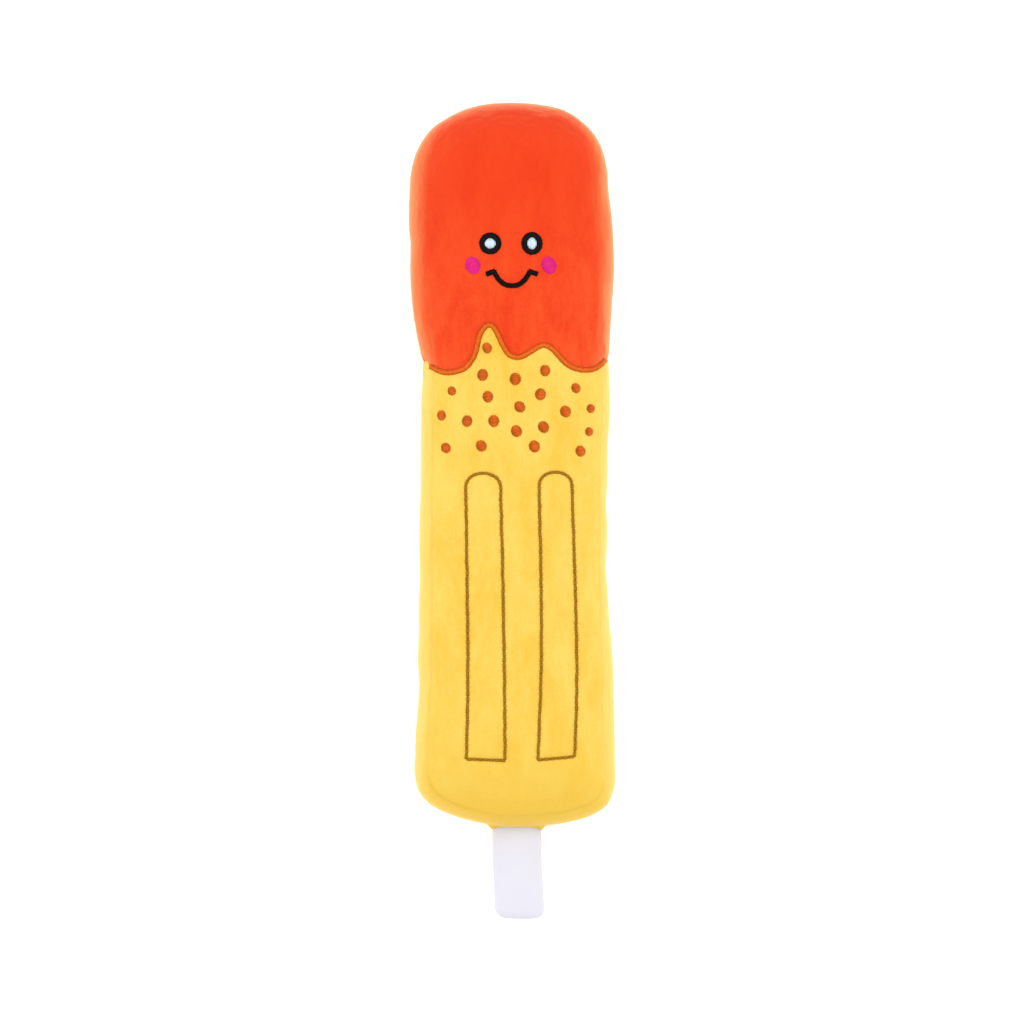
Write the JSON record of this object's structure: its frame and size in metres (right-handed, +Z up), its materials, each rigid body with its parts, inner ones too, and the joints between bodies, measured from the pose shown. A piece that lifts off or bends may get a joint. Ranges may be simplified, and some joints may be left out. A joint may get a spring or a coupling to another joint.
{
  "type": "ice pop plush toy",
  "caption": "Soft stuffed toy shaped as an ice pop on a stick, orange above and yellow below a wavy drip line, with an embroidered smiling face, dots and stick slots.",
  "frame": {"origin": "centre of the toy's box, on the floor that its flat back rests on", "axes": "+Y along the toy from the stick to the rounded top, +X to the right seen from the face, +Z up, out of the face"},
  "size_m": [0.0753, 0.3, 0.0425],
  "materials": {
    "orange_plush": "short-pile plush, matt, with a soft pale rim where the pile is seen side on",
    "yellow_plush": "short-pile plush, matt, with a soft pale rim where the pile is seen side on",
    "white_felt": "smooth white felt, matt",
    "rust_thread": "embroidery thread, soft sheen along each thread",
    "brown_thread": "embroidery thread in a bold outline stitch",
    "black_thread": "embroidery thread, satin stitched",
    "white_thread": "embroidery thread, satin stitched",
    "pink_thread": "embroidery thread, fill stitched"
  },
  "bodies": {
    "root": {"orange_top": "orange_plush", "yellow_body": "yellow_plush", "stick": "white_felt", "drip_stitching": "rust_thread", "slot_stitching_left": "brown_thread", "slot_stitching_right": "brown_thread", "dot_1": "rust_thread", "dot_2": "rust_thread", "dot_3": "rust_thread", "dot_4": "rust_thread", "dot_5": "rust_thread", "dot_6": "rust_thread", "dot_7": "rust_thread", "dot_8": "rust_thread", "dot_9": "rust_thread", "dot_10": "rust_thread", "dot_11": "rust_thread", "dot_12": "rust_thread", "dot_13": "rust_thread", "dot_14": "rust_thread", "dot_15": "rust_thread", "dot_16": "rust_thread", "dot_17": "rust_thread", "dot_18": "rust_thread", "dot_19": "rust_thread", "dot_20": "rust_thread", "dot_21": "rust_thread", "eye_ring_left": "black_thread", "eye_white_left": "white_thread", "cheek_left": "pink_thread", "eye_ring_right": "black_thread", "eye_white_right": "white_thread", "cheek_right": "pink_thread", "smile": "black_thread"}
  },
  "joints": []
}
